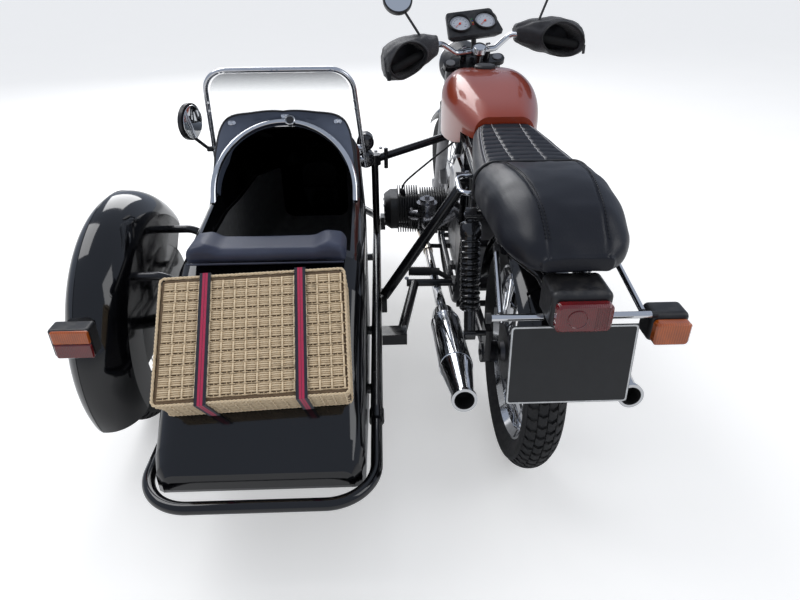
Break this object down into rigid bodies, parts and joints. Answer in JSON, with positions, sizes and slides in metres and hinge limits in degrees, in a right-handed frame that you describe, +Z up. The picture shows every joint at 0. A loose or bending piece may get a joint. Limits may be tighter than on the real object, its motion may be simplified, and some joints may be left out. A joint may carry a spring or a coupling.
{
  "type": "motorcycle with sidecar",
  "caption": "Shaft-drive flat-twin road motorcycle with a single-seat torpedo sidecar on its left, wicker hamper strapped on the tail.",
  "frame": {"origin": "on the floor under the middle of the overall box", "axes": "+Y forward, +X to the rider's right, +Z up; the sidecar is on the -X side"},
  "size_m": [1.605, 2.3026, 1.266],
  "materials": {
    "black_paint": "gloss",
    "black_satin": "satin",
    "orange_paint": "gloss metallic",
    "chrome": "polished",
    "steel": "brushed",
    "alloy": "cast, satin",
    "tyre": "matt",
    "rubber": "matt",
    "black_plastic": "matt",
    "seat_vinyl": "satin",
    "blue_vinyl": "satin",
    "muff_fabric": "matt",
    "wicker": "woven",
    "strap": "webbing",
    "clear": "clear",
    "lens": "gloss"
  },
  "bodies": {
    "chassis": {"bike_frame": "black_paint", "engine_block": "alloy", "cylinders": "black_satin", "carburettors": "alloy", "exhausts": "chrome", "fuel_tank": "orange_paint", "filler_cap": "black_plastic", "seat": "seat_vinyl", "side_panels": "black_paint", "rear_mudguard": "black_paint", "rear_lamp_housing": "black_plastic", "number_plate": "black_plastic", "swing_arm": "black_paint", "rear_shocks": "chrome", "lifting_handle": "chrome", "footrests": "rubber", "sidecar_chassis": "black_paint", "bumper_loop": "black_paint", "sidecar_struts": "steel", "sidecar_body": "black_paint", "cockpit_hoop": "chrome", "windscreen_frame": "black_satin", "windscreen": "clear", "sidecar_backrest": "blue_vinyl", "sidecar_cushion": "blue_vinyl", "hamper": "wicker", "hamper_straps": "strap", "sidecar_mudguard": "black_paint", "side_lamps": "black_plastic", "sidecar_lamp": "lens", "lamp_lenses": "lens", "sidecar_mirror": "black_plastic"},
    "steering": {"fork_yokes": "alloy", "fork_legs": "alloy", "front_mudguard": "black_paint", "headlamp": "chrome", "handlebar": "chrome", "bar_muffs": "muff_fabric", "bar_mirrors": "black_plastic", "instrument_binnacle": "black_plastic"},
    "front_wheel": {"front_wheel": "chrome", "front_tyre": "tyre"},
    "rear_wheel": {"rear_wheel": "chrome", "rear_tyre": "tyre"},
    "sidecar_wheel": {"sidecar_wheel": "chrome", "sidecar_tyre": "tyre"}
  },
  "joints": [
    {"name": "steering", "type": "hinge", "parent": "chassis", "child": "steering", "pos_m": [0.40551, 0.92362, 0], "axis": [0, -0.4695, 0.8829], "range_deg": [-47, 25]},
    {"name": "front_wheel_spin", "type": "hinge", "parent": "steering", "child": "front_wheel", "pos_m": [0.39213, 0.82748, 0.3274], "axis": [0.9816, 0.1685, 0.0896], "continuous": true},
    {"name": "rear_wheel_spin", "type": "hinge", "parent": "chassis", "child": "rear_wheel", "pos_m": [0.40551, -0.63638, 0.322], "axis": [1, 0, 0], "continuous": true},
    {"name": "sidecar_wheel_spin", "type": "hinge", "parent": "chassis", "child": "sidecar_wheel", "pos_m": [-0.72449, -0.39638, 0.316], "axis": [1, 0, 0], "continuous": true}
  ]
}
